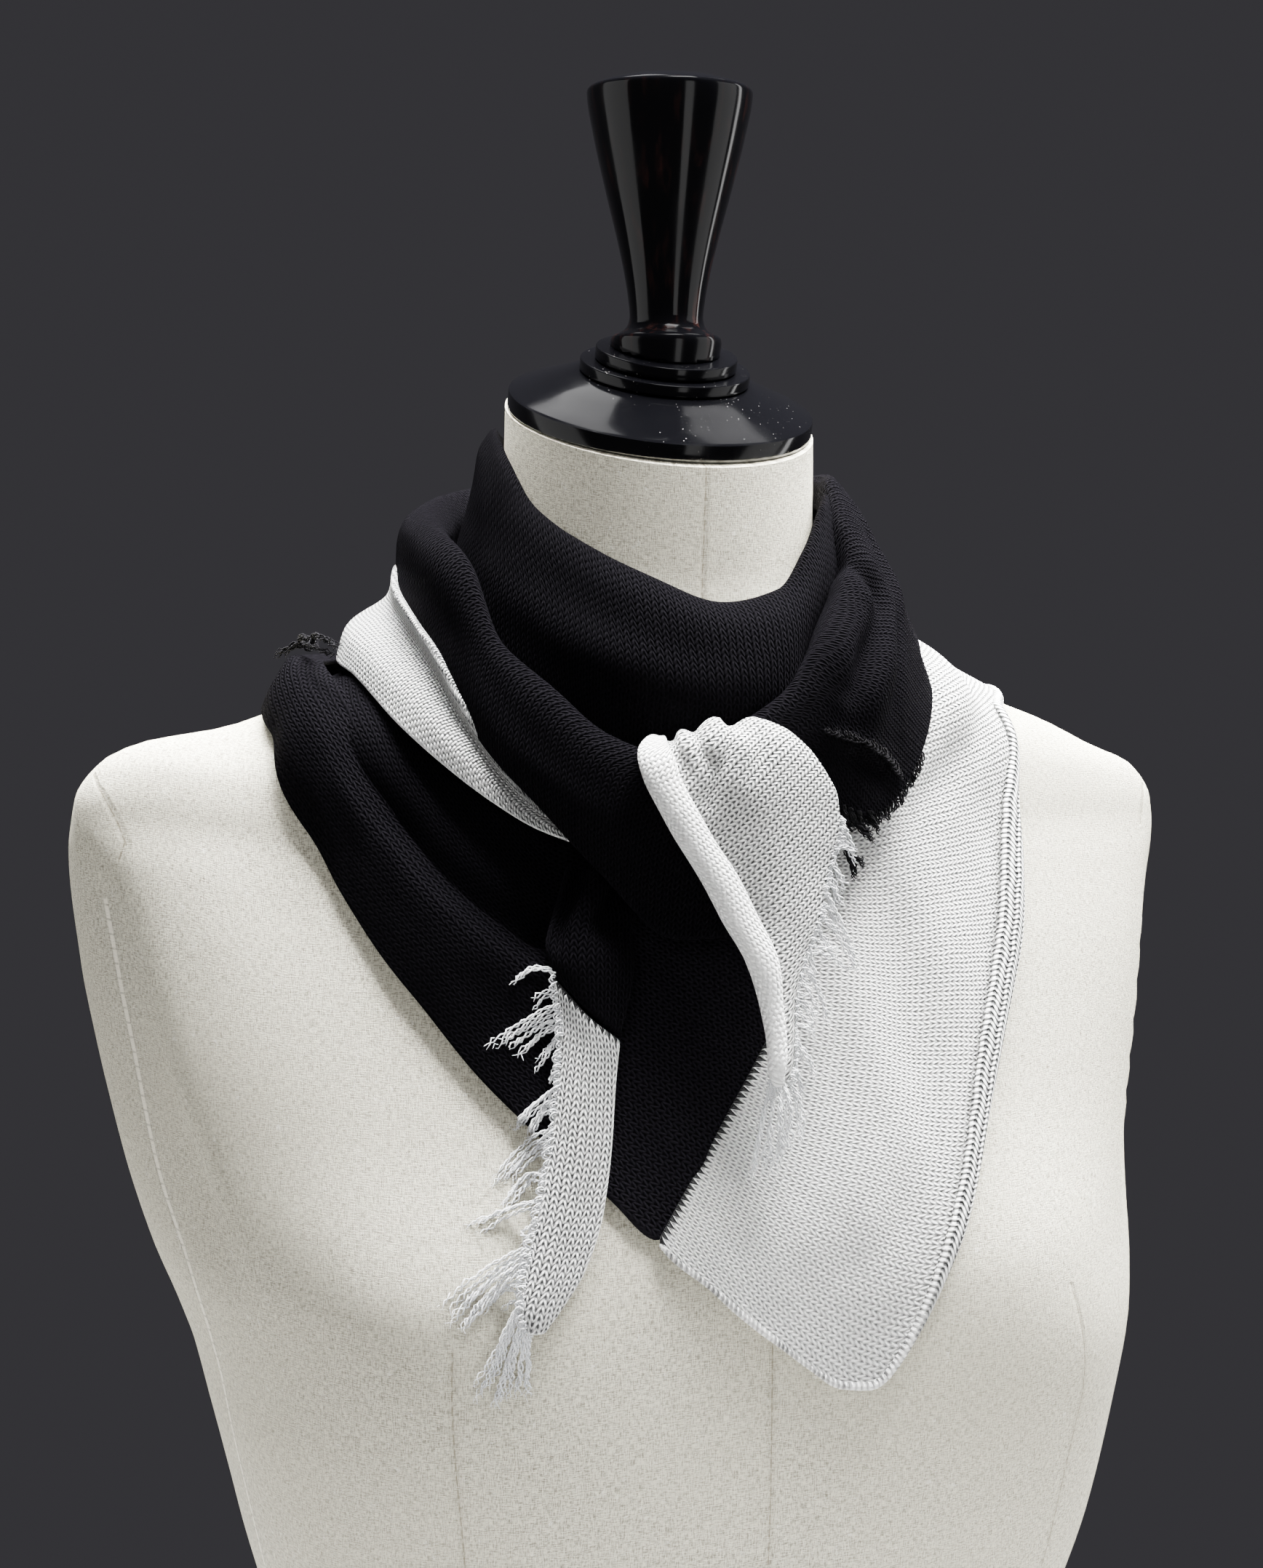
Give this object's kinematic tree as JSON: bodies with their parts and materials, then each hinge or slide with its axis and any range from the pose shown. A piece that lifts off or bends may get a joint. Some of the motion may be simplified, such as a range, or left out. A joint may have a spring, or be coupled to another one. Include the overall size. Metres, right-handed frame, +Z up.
{
  "type": "cashmere scarf on a dress form",
  "caption": "Black and white knitted scarf wound once round the neck of a linen-covered limbless dress form, its knotted ends and point hanging on the chest.",
  "frame": {"origin": "on the plane that the form stands on, at the middle of the flat underside", "axes": "+Z up through the neck and the knob, -Y the way the form and the scarf's point face, +X the form's left"},
  "size_m": [0.396, 0.2317, 0.777],
  "materials": {
    "linen": "ecru linen, fine plain weave, matt",
    "black_lacquer": "turned wood in polished black lacquer",
    "black_cashmere": "black stockinette knit, soft and slightly fuzzy",
    "white_cashmere": "off-white stockinette knit, soft and slightly fuzzy"
  },
  "bodies": {
    "root": {"form_body": "linen", "neck_cap": "black_lacquer", "cap_ring_lower": "black_lacquer", "cap_ring_upper": "black_lacquer", "cap_knob": "black_lacquer", "scarf_cowl": "black_cashmere", "scarf_wrap_left": "black_cashmere", "scarf_wrap_right": "black_cashmere", "scarf_white_fold": "white_cashmere", "scarf_inner_band": "black_cashmere", "scarf_bib_black": "black_cashmere", "scarf_bib_white": "white_cashmere", "scarf_tail_left_black": "black_cashmere", "scarf_tail_left_white": "white_cashmere", "scarf_tail_right": "white_cashmere", "fringe_left": "white_cashmere", "fringe_right": "white_cashmere", "fringe_end": "white_cashmere", "fringe_black_right": "black_cashmere", "fringe_black_left": "black_cashmere"}
  },
  "joints": []
}
